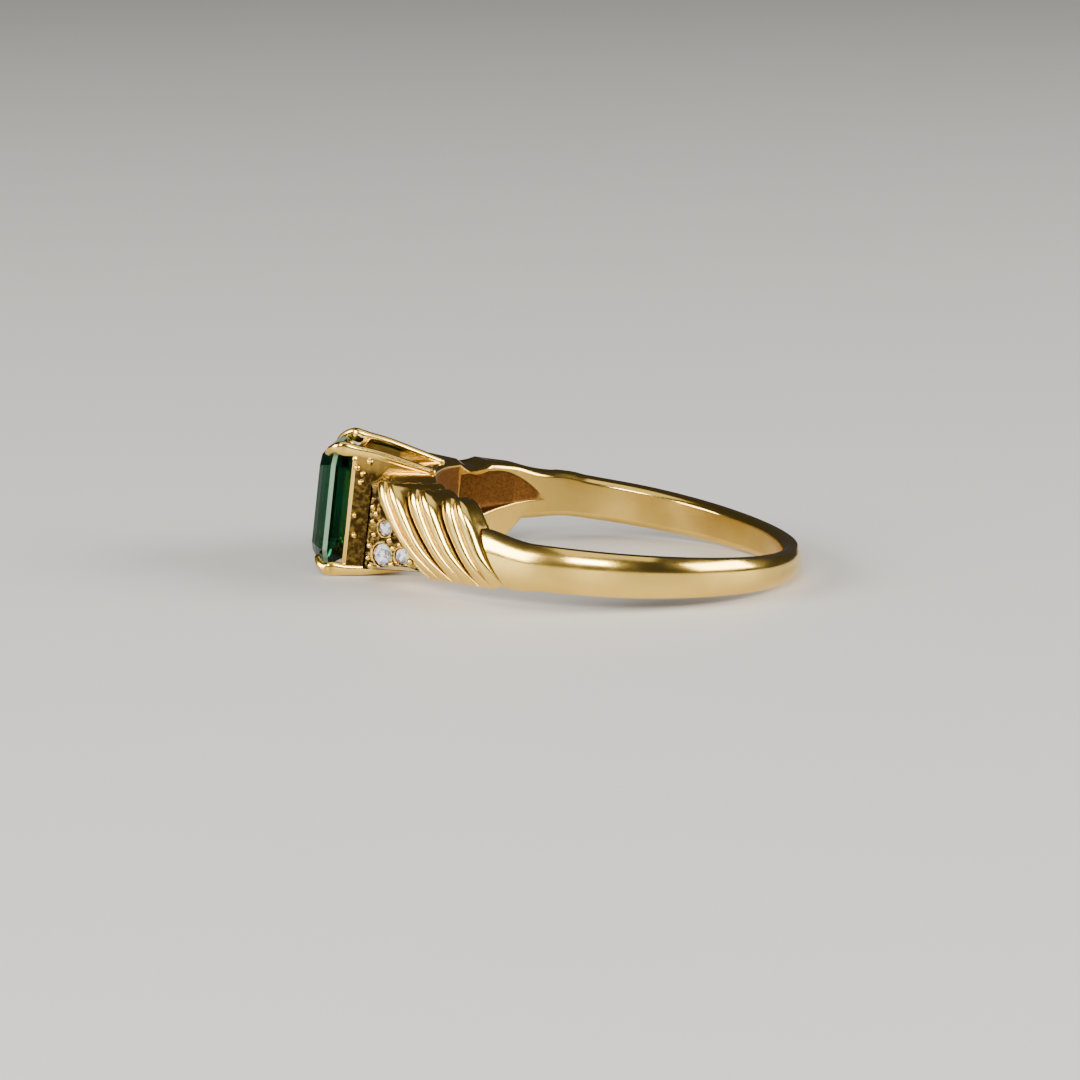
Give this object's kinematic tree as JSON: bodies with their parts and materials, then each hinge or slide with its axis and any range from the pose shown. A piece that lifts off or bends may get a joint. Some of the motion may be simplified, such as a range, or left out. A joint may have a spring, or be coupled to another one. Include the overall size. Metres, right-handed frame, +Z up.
{
  "type": "tourmaline ring",
  "caption": "Finger ring with a step-cut green stone in claws, between slanting fluted shoulders set with small clear stones.",
  "frame": {"origin": "middle of the ring's box, on the surface that it lies on", "axes": "+X from the head to the back of the band, +Z up, nearly along the finger hole, +Y across the ring"},
  "size_m": [0.0238, 0.019, 0.0066],
  "materials": {
    "gold": "polished yellow gold, matte in the hollows behind the shoulders",
    "tourmaline": "polished facets, dark blue-green",
    "diamond": "polished facets, colourless"
  },
  "bodies": {
    "root": {"gold_ring": "gold", "tourmaline": "tourmaline", "diamond_near_large": "diamond", "diamond_near_middle": "diamond", "diamond_near_small": "diamond", "diamond_far_large": "diamond", "diamond_far_middle": "diamond", "diamond_far_small": "diamond"}
  },
  "joints": []
}
